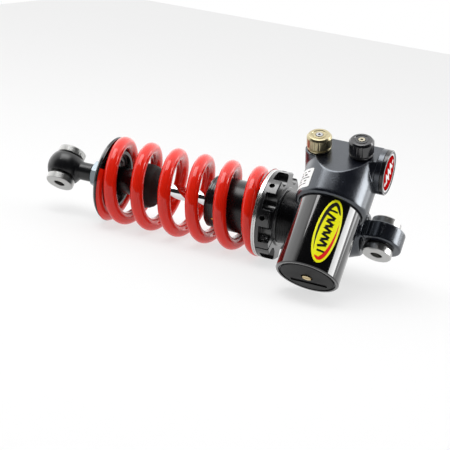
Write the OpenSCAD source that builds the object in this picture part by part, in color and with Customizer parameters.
// Motorcycle rear shock absorber with a piggyback reservoir, lying at rest on its coil spring and reservoir cap.
// The shock is drawn along X with the head eye at the origin, then rolled about X into its resting attitude.

/* [Overall] */
// Distance between the centres of the two eyes at full extension
eye_to_eye = 312; // [300:1:330]
// Clearance between pieces that are assembled and stay put
seat_gap = 0.05; // [0.02:0.01:0.1]
// Radial clearance where one piece slides or turns in another
running_gap = 0.07; // [0.02:0.01:0.1]
// Clearance between each bearing ball and its race
ball_gap = 0.1; // [0.05:0.01:0.1]

/* [Coil spring] */
// Outside diameter of the coil spring
spring_od = 81; // [78:0.5:88]
// Diameter of the spring wire
spring_wire = 12; // [9:0.5:13]
// Installed length between the two spring seats
spring_length = 152; // [148:1:154]
// Number of active coils
spring_active = 5.52; // [4.5:0.01:6.5]
// Number of dead coils at each ground end
spring_dead = 0.71; // [0.5:0.01:0.8]
// Pitch of the dead coils
spring_dead_pitch = 6; // [4:0.5:8]
// Thickness of the ground tip of the wire
spring_tip = 3; // [2:0.5:4]
// Angle at which the lower tip of the wire starts
spring_start_angle = 105; // [0:5:360]

/* [Damper body] */
// Outside diameter of the damper tube thread
tube_od = 48; // [46:0.5:50]
// Wall of the damper tube
tube_wall = 2.5; // [1.5:0.5:3]
// Diameter of the piston rod
rod_d = 12.7; // [12:0.1:16]
// Distance from the head eye to the outer face of the seal head
seal_head_x = 161; // [158:1:164]
// Visible length of the seal head
seal_head_len = 14; // [10:1:16]
// Length of the seal head inside the damper tube
seal_head_insert = 14; // [13:1:15]
// Distance from the head eye to the near end of the damper tube
tube_end_x = 56; // [54:1:60]
// Thickness of the main piston
piston_len = 14; // [12:1:15]

/* [Lower end] */
// Outside diameter of the shaft eye
shaft_eye_d = 35; // [33:0.5:40]
// Width of the shaft eye across its flat faces
shaft_eye_w = 19; // [18:0.5:20]
// Diameter of the neck between the shaft eye and the lock nut
neck_d = 17; // [15:0.5:19]
// Distance from the shaft eye centre to the end of its neck
neck_len = 30.5; // [29:0.5:33]
// Across-flats size of the lock nut
nut_af = 22; // [19:0.5:24]
// Thickness of the lock nut
nut_len = 7; // [5:0.5:8]
// Diameter of the lower spring seat
seat_d = 78; // [76:0.5:80]
// Thickness of the lower spring seat's rim
seat_rim = 4.5; // [3:0.5:6]
// Diameter of the bump stop
bump_d = 41; // [36:0.5:44]
// Length of the bump stop
bump_len = 22; // [18:0.5:26]
// Length of the seat's hub, from the spring's seat face to the bump stop washer
seat_hub_len = 23.5; // [18:0.5:24]

/* [Preload collar] */
// Diameter of the preload collar and thrust washers
collar_d = 80; // [76:0.5:81]
// Length of the scalloped flange of the collar
collar_flange = 12.5; // [10:0.5:13]
// Length of the collar hub behind the flange
collar_hub = 1.5; // [1:0.5:9]
// Diameter of the collar hub
collar_hub_d = 54; // [52:0.5:58]
// Number of spanner scallops around the collar
collar_scallops = 8; // [6:1:9]
// Thickness of each thrust washer
washer_t = 1.6; // [1:0.1:1.8]

/* [Head] */
// Radius of the cylindrical head barrel around the reservoir
barrel_r = 31.8; // [31:0.1:33]
// Distance from the head eye to the reservoir axis, along the shock
reservoir_x = 37.1; // [36:0.1:39]
// Height of the reservoir axis above the shock axis
reservoir_z = 54.2; // [53.5:0.1:57]
// Distance from the head eye plane to the back of the head
head_back = 54; // [52:0.5:56]
// Tilt of the adjuster face away from the reservoir axis
knob_tilt = 28; // [24:1:30]
// Distance of the adjuster face from the shock axis
knob_face = 82; // [81:0.5:84]
// Outside diameter of the head eye
head_eye_d = 39; // [37:0.5:42]
// Width of the head eye
head_eye_w = 17; // [17:0.5:20]
// Outside diameter of the boss that holds the damper tube
boss_d = 54.6; // [54:0.2:58]

/* [Bearings and spacers] */
// Diameter of the mounting bolt bores
bolt_bore = 10.2; // [8:0.1:12]
// Diameter of the bearing balls
ball_d = 20; // [18.5:0.5:21]
// Outside diameter of the bearing races
race_d = 24; // [23:0.5:25]
// Length of the bearing races
race_len = 11; // [10:0.5:12]
// Overall width over the shaft eye spacers
shaft_spacer_w = 36.2; // [34:0.1:40]
// Overall width over the head eye spacers
head_spacer_w = 34; // [33:0.1:40]
// Diameter of the spacer flanges
spacer_flange_d = 26.4; // [24:0.1:28]
// Thickness of the spacer flanges, with the groove behind them
spacer_flange_t = 7.6; // [5:0.1:8]
// Diameter of the spacer bodies
spacer_body_d = 20.6; // [18:0.1:21]

/* [Reservoir] */
// Outside diameter of the reservoir tube
reservoir_d = 55.2; // [54:0.2:56]
// Wall of the reservoir tube
reservoir_wall = 2.4; // [1.5:0.1:3]
// Distance from the eye plane to the outer face of the end cap
cap_face = 73; // [70:0.5:80]
// Thickness of the end cap
cap_len = 12; // [10:0.5:14]
// Thickness of the floating piston
float_len = 16; // [12:0.5:20]
// Distance from the eye plane to the floating piston
float_y = 22; // [18:0.5:26]

/* [Adjusters] */
// Diameter of both adjuster knobs
knob_d = 21.6; // [18:0.2:23]
// Height of the low speed knob
low_knob_h = 14; // [10:0.5:15]
// Height of the high speed knob
high_knob_h = 15.5; // [11:0.5:17]
// Distance from the head eye to the low speed knob, along the shock
low_knob_x = 59; // [57.5:0.5:60]
// Distance from the head eye to the high speed knob, along the shock
high_knob_x = 22.4; // [21.5:0.1:23.5]
// Diameter of the side port cap
port_d = 39.4; // [37:0.2:40]
// Distance from the eye plane to the port axis
port_y = 37.3; // [37:0.1:38]
// Distance of the port cap face beyond the head eye
port_face_x = 1.5; // [0:0.5:3]

/* [Hidden] */
$fn = 96;
small = 0.01;

spring_r = spring_od / 2;
wire_r = spring_wire / 2;
coil_r = spring_r - wire_r;
rod_r = rod_d / 2;
tube_r = tube_od / 2;
tube_bore_r = tube_r - tube_wall;
reservoir_r = reservoir_d / 2;
reservoir_bore_r = reservoir_r - reservoir_wall;

// Places along the shock, from the shaft eye towards the head
shaft_eye_x = -eye_to_eye;
neck_end_x = shaft_eye_x + neck_len;
nut_end_x = neck_end_x + nut_len + 0.2;
collar_x = -104.4;
washer_gap = 0.2;
spring_top_x = collar_x - 2 * washer_t - 2 * washer_gap;
seat_face_x = spring_top_x - spring_length;
seat_hub_end_x = seat_face_x + seat_hub_len;
bump_washer_t = 2;
bump_x = seat_hub_end_x + bump_washer_t + 0.1;
bump_end_x = bump_x + bump_len;
seal_x = -seal_head_x;
tube_start_x = seal_x + seal_head_len;
insert_end_x = tube_start_x + seal_head_insert;
topout_len = 7;
piston_x = insert_end_x + topout_len + 1.4;
shim_t = 1.6;
piston_nut_x = piston_x + piston_len + shim_t;
piston_nut_len = 6;
chamber_end_x = -40.5;
boss_start_x = -76;
boss_end_x = -14.5;

// Places across the head
eye_half = head_eye_w / 2;
flange_y = -eye_half;
socket_y = 6;
chamber_y = 20;
thread_r = rod_r - 1.35;
spigot_r = 7;
port_neck_x = port_face_x - 8;
port_bore_r = 12;
port_bore_x = -36;
needle_r = 3;
cap_inner_y = -cap_face + cap_len;
float_r = reservoir_bore_r - running_gap;

// Roll about X that lets the spring and the rim of the end cap touch the same floor
cap_corner = [-cap_face, reservoir_z - reservoir_r];
rest_roll = atan2(cap_corner[0], cap_corner[1]) + acos(-spring_r / norm(cap_corner));

// ---- placing and turning helpers ----

module lie() {
    rotate([rest_roll, 0, 0]) children();
}

// Solid turned about X from [x, radius] points
module turned_x(profile) {
    rotate([0, 90, 0]) rotate_extrude() polygon([for (p = profile) [p[1], p[0]]]);
}

// Solid turned about Y from [y, radius] points
module turned_y(profile) {
    rotate([-90, 0, 0]) rotate_extrude() polygon([for (p = profile) [p[1], p[0]]]);
}

module rod_x(x0, x1, r) {
    translate([x0, 0, 0]) rotate([0, 90, 0]) cylinder(r = r, h = x1 - x0);
}

module ring_x(x0, x1, r_out, r_in) {
    difference() {
        rod_x(x0, x1, r_out);
        rod_x(x0 - 1, x1 + 1, r_in);
    }
}

module rod_y(y0, y1, r) {
    translate([0, y0, 0]) rotate([-90, 0, 0]) cylinder(r = r, h = y1 - y0);
}

module ring_y(y0, y1, r_out, r_in) {
    difference() {
        rod_y(y0, y1, r_out);
        rod_y(y0 - 1, y1 + 1, r_in);
    }
}

module at_reservoir() {
    translate([-reservoir_x, 0, reservoir_z]) children();
}

module at_port() {
    translate([0, port_y, reservoir_z]) children();
}

// Local frame on the tilted adjuster face: Z leaves the face, Y runs up the slope
module on_face(x, up) {
    rotate([-knob_tilt, 0, 0]) translate([x, up, knob_face]) children();
}

module at_low_knob() {
    on_face(-low_knob_x, -1) children();
}

module at_high_knob() {
    on_face(-high_knob_x, 2) children();
}

module both_sides() {
    children();
    mirror([0, 1, 0]) children();
}

// ---- head and its fittings ----

// Concave web between two round bosses in the XZ plane, of fillet radius rf
module boss_web(c1, r1, c2, r2, rf, half_w) {
    d = norm(c2 - c1);
    a = r1 + rf;
    b = r2 + rf;
    along = (a * a - b * b + d * d) / (2 * d);
    u = (c2 - c1) / d;
    side = [-u[1], u[0]] * sqrt(max(a * a - along * along, 0.1));
    cf = c1 + u * along + side;
    rotate([90, 0, 0]) translate([0, 0, -half_w]) difference() {
        linear_extrude(2 * half_w) polygon([c1, c2, cf]);
        translate([cf[0], cf[1], -1]) cylinder(r = rf, h = 2 * half_w + 2);
    }
}

module head_outside() {
    at_reservoir() turned_y([
        [flange_y, 0], [flange_y, barrel_r - 2], [flange_y + 1.5, barrel_r - 0.4], [flange_y + 3, barrel_r],
        [head_back - 1.5, barrel_r], [head_back, barrel_r - 1.5], [head_back, 0]
    ]);
    turned_x([
        [boss_start_x, 0], [boss_start_x, boss_d / 2 - 1], [boss_start_x + 1, boss_d / 2],
        [chamber_end_x + 2.5, boss_d / 2], [boss_end_x - 1.5, 19.3], [boss_end_x, 17.6], [boss_end_x, 0]
    ]);
    turned_y([
        [-eye_half, 0], [-eye_half, head_eye_d / 2 - 0.8], [-eye_half + 0.8, head_eye_d / 2],
        [eye_half - 0.8, head_eye_d / 2], [eye_half, head_eye_d / 2 - 0.8], [eye_half, 0]
    ]);
    boss_web([0, 0], head_eye_d / 2, [-reservoir_x, reservoir_z], barrel_r - 2, 9, eye_half);
    // saddle that carries the reservoir barrel on the damper boss
    translate([-reservoir_x - 26, flange_y, 0]) cube([44, eye_half + 26, reservoir_z]);
    at_port() rod_x(-reservoir_x, port_neck_x, port_d / 2 + 0.3);
    at_low_knob() translate([0, 0, -24]) cylinder(r = knob_d / 2 + 1, h = 24);
}

module head() color("#2b2c30") lie() difference() {
    head_outside();
    // flat adjuster face across the back corner of the barrel
    rotate([-knob_tilt, 0, 0]) translate([-110, -60, knob_face]) cube([140, 160, 60]);
    // damper tube socket and oil chamber
    rod_x(boss_start_x - 1, -tube_end_x, tube_r + seat_gap);
    rod_x(-tube_end_x - 1, chamber_end_x, tube_bore_r);
    // reservoir socket and oil chamber
    at_reservoir() rod_y(flange_y - 1, socket_y, reservoir_r + seat_gap);
    at_reservoir() rod_y(socket_y - 1, chamber_y, reservoir_bore_r - 1);
    // passages: damper to reservoir, and reservoir to the compression valve
    translate([chamber_end_x - 6, 11, 0]) cylinder(r = 3.5, h = reservoir_z - 10);
    at_reservoir() rod_y(chamber_y - 1, port_y, 4.5);
    at_port() rod_x(port_bore_x, port_neck_x + 1, port_bore_r + seat_gap);
    // spot face under the port cap
    at_port() rod_x(port_neck_x, port_face_x + 5, port_d / 2 + 0.6);
    // adjuster bores
    at_low_knob() translate([0, 0, -18]) cylinder(r = needle_r + running_gap, h = 19);
    at_high_knob() translate([0, 0, -9]) cylinder(r = needle_r + running_gap, h = 10);
    eye_bore(eye_half);
}

// Bearing seat, circlip grooves and dust seal counterbores of an eye of half width hw
module eye_bore(hw) {
    rod_y(-hw - 1, hw + 1, race_d / 2 + seat_gap);
    both_sides() rod_y(race_len / 2 + 0.1, race_len / 2 + 1.3, race_d / 2 + 0.7);
}

module bearing_race() {
    difference() {
        rod_y(-race_len / 2, race_len / 2, race_d / 2);
        sphere(r = ball_d / 2 + ball_gap);
    }
}

module bearing_circlips() {
    both_sides() difference() {
        ring_y(race_len / 2 + 0.2, race_len / 2 + 1.2, race_d / 2 + 0.6, race_d / 2 - 1);
        translate([-1.5, 0, -race_d]) cube([3, race_len, race_d]);
    }
}

module eye_dust_seals(hw) {
    both_sides() ring_y(race_len / 2 + 1.4, hw - 0.2, race_d / 2, spacer_body_d / 2 + 0.3);
}

module bearing_ball() {
    difference() {
        intersection() {
            sphere(r = ball_d / 2);
            cube([ball_d + 2, 13.6, ball_d + 2], center = true);
        }
        rod_y(-ball_d, ball_d, spigot_r + seat_gap);
    }
}

// Pair of stepped spacers; their spigots enter the ball
module eye_spacers(width) {
    hw = width / 2;
    body_r = spacer_body_d / 2;
    flange_r = spacer_flange_d / 2;
    bore_r = bolt_bore / 2;
    both_sides() turned_y([
        [0.2, bore_r], [0.2, spigot_r], [6.85, spigot_r], [6.85, body_r - 1], [7.6, body_r],
        [hw - spacer_flange_t, body_r], [hw - spacer_flange_t + 0.2, body_r - 0.9],
        [hw - spacer_flange_t + 1, body_r - 0.9], [hw - spacer_flange_t + 1, flange_r - 0.5],
        [hw - spacer_flange_t + 1.5, flange_r], [hw - 0.9, flange_r], [hw, flange_r - 0.9],
        [hw, bore_r + 0.6], [hw - 0.6, bore_r]
    ]);
}

module head_eye_race() color("#8d9095") lie() bearing_race();
module head_eye_circlips() color("#3a3a3c") lie() bearing_circlips();
module head_eye_dust_seals() color("#161616") lie() eye_dust_seals(eye_half);
module head_eye_ball() color("#b9bcc0") lie() bearing_ball();
module head_eye_spacers() color("#c8cacc") lie() eye_spacers(head_spacer_w);

// ---- damper tube and seal head ----

module damper_tube() color("#1b1b1d") lie() difference() {
    turned_x([
        [tube_start_x + 0.1, tube_bore_r], [tube_start_x + 0.1, tube_r - 0.8], [tube_start_x + 0.9, tube_r],
        [-tube_end_x - 1, tube_r], [-tube_end_x - 0.1, tube_r - 0.9], [-tube_end_x - 0.1, tube_bore_r]
    ]);
}

module seal_head() color("#1c1c1e") lie() difference() {
    turned_x([
        [seal_x, 0], [seal_x, tube_r - 2], [seal_x + 1.6, tube_r - 0.4],
        for (i = [0:3]) each [
            [seal_x + 3 + 2.4 * i, tube_r - 0.4], [seal_x + 3.3 + 2.4 * i, tube_r - 1],
            [seal_x + 4.3 + 2.4 * i, tube_r - 1], [seal_x + 4.6 + 2.4 * i, tube_r - 0.4]
        ],
        [tube_start_x, tube_r - 0.4], [tube_start_x, tube_bore_r - seat_gap],
        [insert_end_x, tube_bore_r - seat_gap], [insert_end_x, 0]
    ]);
    rod_x(seal_x - 1, insert_end_x + 1, rod_r + 0.6);
    rod_x(seal_x - 1, seal_x + 5, rod_r + 5.05);
    rod_x(seal_x + 4.9, seal_x + 12.05, rod_r + 4.05);
    rod_x(seal_x + 12, insert_end_x - 2, rod_r + 1.55);
    o_ring_groove_x(tube_start_x + 8, tube_bore_r);
}

module o_ring_groove_x(x, r) {
    ring_x(x - 1.3, x + 1.3, r + 1, r - 1.9);
}

module seal_head_o_ring() color("#101010") lie()
    ring_x(tube_start_x + 6.9, tube_start_x + 9.1, tube_bore_r - 0.02, tube_bore_r - 1.85);

module dust_wiper() color("#141414") lie() turned_x([
    [seal_x - 0.5, rod_r + running_gap], [seal_x - 0.5, rod_r + 1], [seal_x + 0.2, rod_r + 3.2],
    [seal_x + 0.2, rod_r + 5], [seal_x + 4.8, rod_r + 5], [seal_x + 4.8, rod_r + 1.2],
    [seal_x + 0.6, rod_r + running_gap]
]);

module shaft_seal() color("#2a4a8a") lie() ring_x(seal_x + 5.1, seal_x + 11.9, rod_r + 4, rod_r + running_gap);

module shaft_bush() color("#b08d57") lie()
    ring_x(seal_x + 12.2, insert_end_x - 2.1, rod_r + 1.5, rod_r + running_gap);

// ---- shaft, piston and lower end ----

module piston_rod() color("#d4d6d9") lie() turned_x([
    [neck_end_x - 12, 0], [neck_end_x - 12, thread_r], [nut_end_x, thread_r], [nut_end_x, rod_r - 0.4],
    [nut_end_x + 0.4, rod_r], [piston_x - 1.8, rod_r], [piston_x - 1.8, thread_r],
    [piston_nut_x + piston_nut_len + 1, thread_r], [piston_nut_x + piston_nut_len + 1, 0]
]);

module topout_bumper() color("#4a3a22") lie() turned_x([
    [insert_end_x + 0.6, rod_r + 0.1], [insert_end_x + 0.6, rod_r + 4], [insert_end_x + 1.6, rod_r + 5],
    [insert_end_x + topout_len - 1, rod_r + 5], [insert_end_x + topout_len - 0.6, rod_r + 4],
    [insert_end_x + topout_len - 0.6, rod_r + 0.1]
]);

module piston() color("#a8a29a") lie() difference() {
    rod_x(piston_x, piston_x + piston_len, tube_bore_r - 1);
    rod_x(piston_x - 1, piston_x + piston_len + 1, thread_r + seat_gap);
    ring_x(piston_x + 3, piston_x + piston_len - 3, tube_bore_r + 1, tube_bore_r - 2.1);
    for (i = [0:5]) rotate([60 * i, 0, 0]) translate([0, 0, 12.5]) rod_x(piston_x - 1, piston_x + piston_len + 1, 2.2);
}

module piston_band() color("#5b4a2f") lie()
    ring_x(piston_x + 3.1, piston_x + piston_len - 3.1, tube_bore_r - running_gap, tube_bore_r - 2);

// Stack of thin discs, each a little smaller than the last
module shim_stack(x, step, r_big) {
    for (i = [0:3]) ring_x(x + i * step * 0.35, x + (i + 1) * step * 0.35 + 0.02, r_big - 1.6 * i, thread_r + seat_gap);
}

module piston_shims() color("#c9ccd0") lie() {
    shim_stack(piston_x + piston_len + 0.05, 1, 17);
    translate([2 * piston_x - 0.05, 0, 0]) mirror([1, 0, 0]) shim_stack(piston_x, 1, 17);
}

module piston_nut() color("#9b9ea3") lie() difference() {
    hex_x(piston_nut_x, piston_nut_x + piston_nut_len, 17);
    rod_x(piston_nut_x - 1, piston_nut_x + piston_nut_len + 1, thread_r + seat_gap);
}

module hex_x(x0, x1, across_flats) {
    corner_r = across_flats / 2 / cos(30);
    intersection() {
        translate([x0, 0, 0]) rotate([0, 90, 0]) cylinder(r = corner_r, h = x1 - x0, $fn = 6);
        turned_x([
            [x0, 0], [x0, across_flats / 2], [x0 + 1, corner_r + small], [x1 - 1, corner_r + small],
            [x1, across_flats / 2], [x1, 0]
        ]);
    }
}

module lock_nut() color("#b7c3cc") lie() rotate([12, 0, 0]) difference() {
    hex_x(neck_end_x + 0.1, neck_end_x + 0.1 + nut_len, nut_af);
    rod_x(neck_end_x - 1, neck_end_x + nut_len + 1, thread_r + seat_gap);
}

module shaft_eye() color("#1d1d20") lie() difference() {
    union() {
        translate([shaft_eye_x, 0, 0]) intersection() {
            sphere(r = shaft_eye_d / 2);
            cube([shaft_eye_d + 2, shaft_eye_w, shaft_eye_d + 2], center = true);
        }
        turned_x([
            [shaft_eye_x + race_d / 2 + 1, 0], [shaft_eye_x + race_d / 2 + 1, neck_d / 2 + 2.6],
            [shaft_eye_x + race_d / 2 + 4.6, neck_d / 2], [neck_end_x - 2, neck_d / 2],
            [neck_end_x - 1.2, neck_d / 2 - 0.8], [neck_end_x, neck_d / 2 - 0.8], [neck_end_x, 0]
        ]);
    }
    translate([shaft_eye_x, 0, 0]) eye_bore(shaft_eye_w / 2);
    rod_x(neck_end_x - 12.2, neck_end_x + 1, thread_r + seat_gap);
}

module shaft_eye_race() color("#8d9095") lie() translate([shaft_eye_x, 0, 0]) bearing_race();
module shaft_eye_circlips() color("#3a3a3c") lie() translate([shaft_eye_x, 0, 0]) bearing_circlips();
module shaft_eye_dust_seals() color("#161616") lie() translate([shaft_eye_x, 0, 0]) eye_dust_seals(shaft_eye_w / 2);
module shaft_eye_ball() color("#b9bcc0") lie() translate([shaft_eye_x, 0, 0]) bearing_ball();
module shaft_eye_spacers() color("#c8cacc") lie() translate([shaft_eye_x, 0, 0]) eye_spacers(shaft_spacer_w);

module lower_spring_seat() color("#1a1a1c") lie() difference() {
    pilot_r = coil_r - wire_r - 0.5;
    turned_x([
        [nut_end_x + 0.1, rod_r + seat_gap], [nut_end_x + 0.1, 13], [seat_face_x - seat_rim - 4, 16],
        [seat_face_x - seat_rim, seat_d / 2 - 6], [seat_face_x - seat_rim, seat_d / 2 - 2],
        [seat_face_x - seat_rim + 2, seat_d / 2], [seat_face_x - 1.4, seat_d / 2],
        [seat_face_x - 1.4, seat_d / 2 - 0.5], [seat_face_x - 0.9, seat_d / 2 - 0.5],
        [seat_face_x - 0.9, seat_d / 2], [seat_face_x, seat_d / 2],
        [seat_face_x, pilot_r], [seat_face_x + 4, pilot_r - 0.4], [seat_face_x + 5, pilot_r - 1.4],
        [seat_face_x + 5, pilot_r - 4], [seat_face_x + 1, pilot_r - 5], [seat_face_x + 1, 18],
        [seat_face_x - 1, 17], [seat_face_x - 1, 12], [seat_hub_end_x - 1, 12], [seat_hub_end_x, 11],
        [seat_hub_end_x, rod_r + seat_gap]
    ]);
    for (i = [0:4]) rotate([72 * i + 20, 0, 0]) translate([0, 0, 18.5]) rod_x(seat_face_x - 0.6, seat_face_x + 8, 4.6);
}

module bump_stop_washer() color("#2c2c2e") lie()
    ring_x(seat_hub_end_x + 0.05, seat_hub_end_x + bump_washer_t + 0.05, 17.5, rod_r + seat_gap);

module bump_stop() color("#241c18") lie() turned_x([
    [bump_x, rod_r + 0.15], [bump_x, bump_d / 2 - 2], [bump_x + 1.2, bump_d / 2 - 0.6],
    [bump_x + 4, bump_d / 2], [bump_x + bump_len * 0.45, bump_d / 2], [bump_x + bump_len * 0.62, bump_d / 2 - 0.8],
    [bump_x + bump_len * 0.76, bump_d / 2 - 2.4], [bump_x + bump_len * 0.88, bump_d / 2 - 5],
    [bump_x + bump_len * 0.96, bump_d / 2 - 8], [bump_end_x, bump_d / 2 - 9.5], [bump_end_x, rod_r + 0.15]
]);

// ---- coil spring: a ring of points is carried along the helix and its ends are ground flat ----

spring_turns = spring_active + 2 * spring_dead;
dead_rise = spring_tip - wire_r + spring_dead * spring_dead_pitch;
active_pitch = (spring_length - 2 * dead_rise) / spring_active;
ring_points = 16;
rings_per_turn = 34;
ring_count = ceil(spring_turns * rings_per_turn);

// Height of the wire centre above the lower seat after t turns; the ends rise at the dead pitch
function wire_height(t) =
    t < spring_dead ? spring_tip - wire_r + t * spring_dead_pitch
    : t > spring_turns - spring_dead ? spring_length - wire_height(spring_turns - t)
    : dead_rise + (t - spring_dead) * active_pitch;

// Mean of the height over a short stretch, which rounds the change of pitch
function smooth_height(t) =
    (wire_height(t - 0.09) + wire_height(t - 0.045) + wire_height(t) + wire_height(t + 0.045)
     + wire_height(t + 0.09)) / 5;

// Half angle that the grinding leaves off the round wire at depth h below the seat plane
function cut_angle(h) = h <= -wire_r + 0.02 ? 5 : acos(min(-h / wire_r, 0.996));

// The ring's flat side faces the nearer end and turns over along the spring
function flat_side(t) = -90 - 180 * max(0, min(1, (t - 1.2) / (spring_turns - 2.4)));

function spring_ring(t) =
    let (
        h = smooth_height(t),
        depth = t < spring_turns / 2 ? -h : h - spring_length,
        cut = cut_angle(depth),
        turn = spring_start_angle + 360 * t
    )
    [for (i = [0:ring_points - 1])
        let (
            a = flat_side(t) + cut + (360 - 2 * cut) * i / (ring_points - 1),
            r = coil_r + wire_r * cos(a)
        )
        [seat_face_x + h + wire_r * sin(a), r * cos(turn), r * sin(turn)]];

module coil_spring() color("#c4120f") lie() {
    n = ring_points;
    points = [for (k = [0:ring_count]) each spring_ring(spring_turns * k / ring_count)];
    sides = [for (k = [0:ring_count - 1], i = [0:n - 1])
        each [[k * n + i, k * n + (i + 1) % n, (k + 1) * n + (i + 1) % n],
              [k * n + i, (k + 1) * n + (i + 1) % n, (k + 1) * n + i]]];
    start_cap = [for (i = [1:n - 2]) [0, i + 1, i]];
    end_cap = [for (i = [1:n - 2]) [ring_count * n, ring_count * n + i, ring_count * n + i + 1]];
    polyhedron(points = points, faces = concat(sides, start_cap, end_cap), convexity = 10);
}

// ---- preload collar ----

scallop_r = 8;
scallop_step = 360 / collar_scallops;
scallop_start = 9;
pinch_angle = scallop_start + 1.5 * scallop_step;

module thrust_washers() color("#d9dbdd") lie() for (i = [0, 1])
    let (x = spring_top_x + washer_gap / 2 + i * (washer_t + washer_gap))
        ring_x(x, x + washer_t, collar_d / 2 - 0.1, tube_r + 0.5);

module preload_collar() color("#26272a") lie() difference() {
    edge = collar_x + collar_flange;
    turned_x([
        [collar_x, tube_r + running_gap], [collar_x, collar_d / 2 - 0.6], [collar_x + 0.6, collar_d / 2],
        [edge - 1, collar_d / 2], [edge, collar_d / 2 - 1.2], [edge, collar_hub_d / 2],
        [edge + collar_hub - 0.5, collar_hub_d / 2], [edge + collar_hub, collar_hub_d / 2 - 0.5],
        [edge + collar_hub, tube_r + running_gap]
    ]);
    for (i = [0:collar_scallops - 1]) rotate([scallop_step * i + scallop_start, 0, 0]) {
        translate([0, 0, collar_d / 2 - 1.5]) rod_x(collar_x + 3.2, edge + collar_hub + 1, scallop_r);
        if (i != 1) rotate([scallop_step / 2, 0, 0]) translate([collar_x + 5.6, 0, collar_d / 2 - 8])
            cylinder(r = 2.5, h = 10);
    }
    // pinch slot and the screw's pocket, through one lobe
    rotate([pinch_angle, 0, 0]) {
        translate([collar_x - 1, -0.8, tube_r - 1]) cube([collar_flange + collar_hub + 2, 1.6, collar_d]);
        at_pinch() rotate([-90, 0, 0]) {
            translate([0, 0, -9]) cylinder(r = 2.1, h = 18);
            translate([0, 0, 4.9]) cylinder(r = 3.8, h = 12);
        }
    }
}

module at_pinch() {
    translate([collar_x + collar_flange / 2 + 1, 0, collar_d / 2 - 6.5]) children();
}

module collar_pinch_screw() color("#6d6f73") lie() rotate([pinch_angle, 0, 0]) at_pinch() rotate([-90, 0, 0])
    difference() {
        union() {
            translate([0, 0, -8]) cylinder(r = 2, h = 13);
            translate([0, 0, 5]) cylinder(r = 3.3, h = 4);
        }
        translate([0, 0, 7]) cylinder(r = 1.8, h = 3, $fn = 6);
    }

// ---- reservoir ----

module reservoir_tube() color("#0d0d0f") lie() at_reservoir() turned_y([
    [-cap_face, reservoir_bore_r], [-cap_face, reservoir_r - 0.8], [-cap_face + 0.8, reservoir_r],
    [socket_y - 0.9, reservoir_r], [socket_y - 0.1, reservoir_r - 0.8], [socket_y - 0.1, reservoir_bore_r]
]);

module reservoir_o_ring() color("#101010") lie() at_reservoir()
    ring_y(socket_y, socket_y + 1.9, reservoir_bore_r - 1.1, reservoir_bore_r - 3);

module end_cap() color("#3b3d41") lie() at_reservoir() difference() {
    turned_y([
        [-cap_face, 0], [-cap_face, reservoir_bore_r - 2.3], [-cap_face + 0.5, reservoir_bore_r - 1.8],
        [-cap_face + 3.6, reservoir_bore_r - 1.8], [-cap_face + 3.6, reservoir_bore_r - seat_gap],
        [cap_inner_y, reservoir_bore_r - seat_gap], [cap_inner_y, 0]
    ]);
    rod_y(-cap_face - 1, -cap_face + 1.6, 5.2);
    rod_y(-cap_face + 1, cap_inner_y + 1, 3.05);
    ring_y(cap_inner_y - 4.6, cap_inner_y - 2, reservoir_bore_r + 1, reservoir_bore_r - 2);
    // shallow spanner recess beside the gas valve
    translate([-16, -cap_face - 1, -13]) cube([32, 1.9, 5]);
}

module end_cap_o_ring() color("#101010") lie() at_reservoir()
    ring_y(cap_inner_y - 4.4, cap_inner_y - 2.2, reservoir_bore_r - 0.02, reservoir_bore_r - 1.95);

module end_cap_snap_ring() color("#111112") lie() at_reservoir() difference() {
    ring_y(-cap_face + 1.6, -cap_face + 3.5, reservoir_bore_r - 2 * seat_gap, reservoir_bore_r - 1.7);
    translate([-1.5, -cap_face, 0]) cube([3, 6, reservoir_r + 2]);
}

module gas_valve() color("#b7985a") lie() at_reservoir() difference() {
    union() {
        rod_y(-cap_face - 0.8, -cap_face + 1.5, 3.9);
        rod_y(-cap_face + 1.4, cap_inner_y - 1, 3);
    }
    translate([-5, -cap_face - 1.6, -0.5]) cube([10, 1.6, 1]);
}

module floating_piston() color("#b0b4b8") lie() at_reservoir() difference() {
    rod_y(-float_y - float_len, -float_y, float_r);
    rod_y(-float_y - float_len - 1, -float_y - 5, float_r - 6);
    ring_y(-float_y - 9, -float_y - 5.8, float_r + 1, float_r - 2.2);
}

module floating_piston_o_ring() color("#101010") lie() at_reservoir()
    ring_y(-float_y - 8.8, -float_y - 6, float_r, float_r - 2.1);

// ---- side port and compression valve ----

module port_cap() color("#1b1b1d") lie() at_port() difference() {
    turned_x([
        [port_neck_x - 9, 0], [port_neck_x - 9, port_bore_r - 0.6], [port_neck_x - 8.4, port_bore_r],
        [port_neck_x + 0.1, port_bore_r], [port_neck_x + 0.1, port_d / 2], [port_face_x - 3.6, port_d / 2],
        [port_face_x - 3.6, port_d / 2 - 1.9], [port_face_x, port_d / 2 - 1.9], [port_face_x, port_d / 2 - 2.6],
        [port_face_x - 0.5, port_d / 2 - 2.6], [port_face_x - 0.5, 0]
    ]);
    ring_x(port_neck_x - 6.3, port_neck_x - 3.7, port_bore_r + 1, port_bore_r - 1.9);
}

module port_cap_ring() color("#c9cbce") lie() at_port()
    turned_x([
        [port_face_x - 3.5, port_d / 2 - 1.85], [port_face_x - 3.5, port_d / 2 - 0.5], [port_face_x - 3, port_d / 2],
        [port_face_x - 0.6, port_d / 2], [port_face_x, port_d / 2 - 0.6], [port_face_x, port_d / 2 - 1.85]
    ]);

module port_cap_o_ring() color("#101010") lie() at_port()
    ring_x(port_neck_x - 6.1, port_neck_x - 3.9, port_bore_r - 0.02, port_bore_r - 1.85);

module compression_valve() color("#b0b4b8") lie() at_port() difference() {
    rod_x(port_bore_x + 0.1, port_bore_x + 8, port_bore_r);
    for (i = [0:4]) rotate([72 * i, 0, 0]) translate([0, 0, 7]) rod_x(port_bore_x - 1, port_bore_x + 9, 2);
    rod_x(port_bore_x - 1, port_bore_x + 9, 1.6);
}

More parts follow.
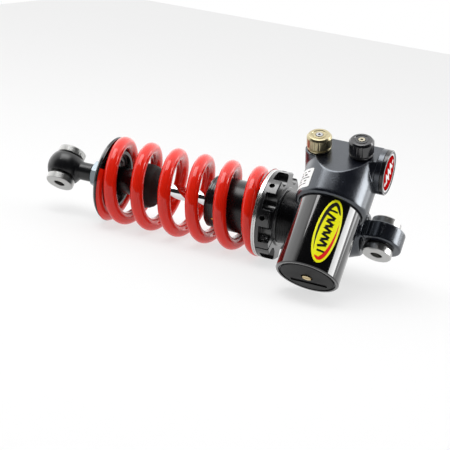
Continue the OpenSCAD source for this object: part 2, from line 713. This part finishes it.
module compression_shims() color("#c9ccd0") lie() at_port()
    for (i = [0:2]) ring_x(port_bore_x + 8.05 + 0.4 * i, port_bore_x + 8.47 + 0.4 * i, 10 - 1.8 * i, 1.6);

// ---- adjuster knobs ----

// Fluted knob with a base collar, a recessed top and a hole for its screw
module knob(h, flutes) {
    r = knob_d / 2;
    difference() {
        rotate_extrude() polygon([
            [1.7, 0.4], [r - 0.9, 0.4], [r - 0.5, 0.8], [r - 0.5, 2.2], [r - 1.3, 2.7], [r - 1.3, 3.1],
            [r, 3.9], [r, h - 2], [r - 1.6, h - 0.2], [r - 2.6, h], [r - 4, h], [r - 4.4, h - 0.6],
            [r - 5.2, h - 0.6], [r - 5.4, h - 0.1], [3.4, h - 0.1], [3.4, h - 1.6], [1.7, h - 1.6]
        ]);
        for (i = [0:flutes - 1]) rotate([0, 0, 360 / flutes * i])
            translate([r + 1, 0, 3.9]) cylinder(r = 1.3, h = h);
    }
}

module knob_screw(h) {
    difference() {
        union() {
            translate([0, 0, h - 1.55]) cylinder(r = 2.9, h = 1.7);
            translate([0, 0, 3]) cylinder(r = 1.65, h = h - 4);
        }
        translate([0, 0, h - 0.9]) cylinder(r = 1.3, h = 2, $fn = 6);
    }
}

// Needle with a tapered tip that enters the head below the knob
module needle(depth) {
    translate([0, 0, -depth + 2.5]) cylinder(r = needle_r, h = depth - 0.6);
    translate([0, 0, -depth]) cylinder(r1 = 0.6, r2 = needle_r, h = 2.5 + small);
}

module low_speed_knob() color("#c2b280") lie() at_low_knob() difference() {
    knob(low_knob_h, 20);
    translate([0, 0, -1]) cylinder(r = needle_r + seat_gap, h = 3.05);
}
module low_speed_knob_screw() color("#9a9a98") lie() at_low_knob() knob_screw(low_knob_h);
module low_speed_needle() color("#b9bcc0") lie() at_low_knob() needle(16);

module high_speed_knob() color("#1c1c1e") lie() at_high_knob() difference() {
    knob(high_knob_h, 20);
    translate([0, 0, -1]) cylinder(r = needle_r + seat_gap, h = 3.05);
}
module high_speed_knob_screw() color("#b2a88c") lie() at_high_knob() knob_screw(high_knob_h);
module high_speed_needle() color("#b9bcc0") lie() at_high_knob() needle(8);

head();
damper_tube();
seal_head();
seal_head_o_ring();
shaft_bush();
shaft_seal();
dust_wiper();
reservoir_tube();
reservoir_o_ring();
end_cap();
end_cap_o_ring();
end_cap_snap_ring();
gas_valve();
floating_piston();
floating_piston_o_ring();
port_cap();
port_cap_ring();
port_cap_o_ring();
compression_valve();
compression_shims();
low_speed_knob();
low_speed_knob_screw();
low_speed_needle();
high_speed_knob();
high_speed_knob_screw();
high_speed_needle();
head_eye_race();
head_eye_circlips();
head_eye_dust_seals();
head_eye_ball();
head_eye_spacers();
coil_spring();
thrust_washers();
preload_collar();
collar_pinch_screw();
piston_rod();
shaft_eye();
shaft_eye_race();
shaft_eye_circlips();
shaft_eye_dust_seals();
shaft_eye_ball();
shaft_eye_spacers();
lock_nut();
lower_spring_seat();
bump_stop_washer();
bump_stop();
topout_bumper();
piston();
piston_band();
piston_shims();
piston_nut();
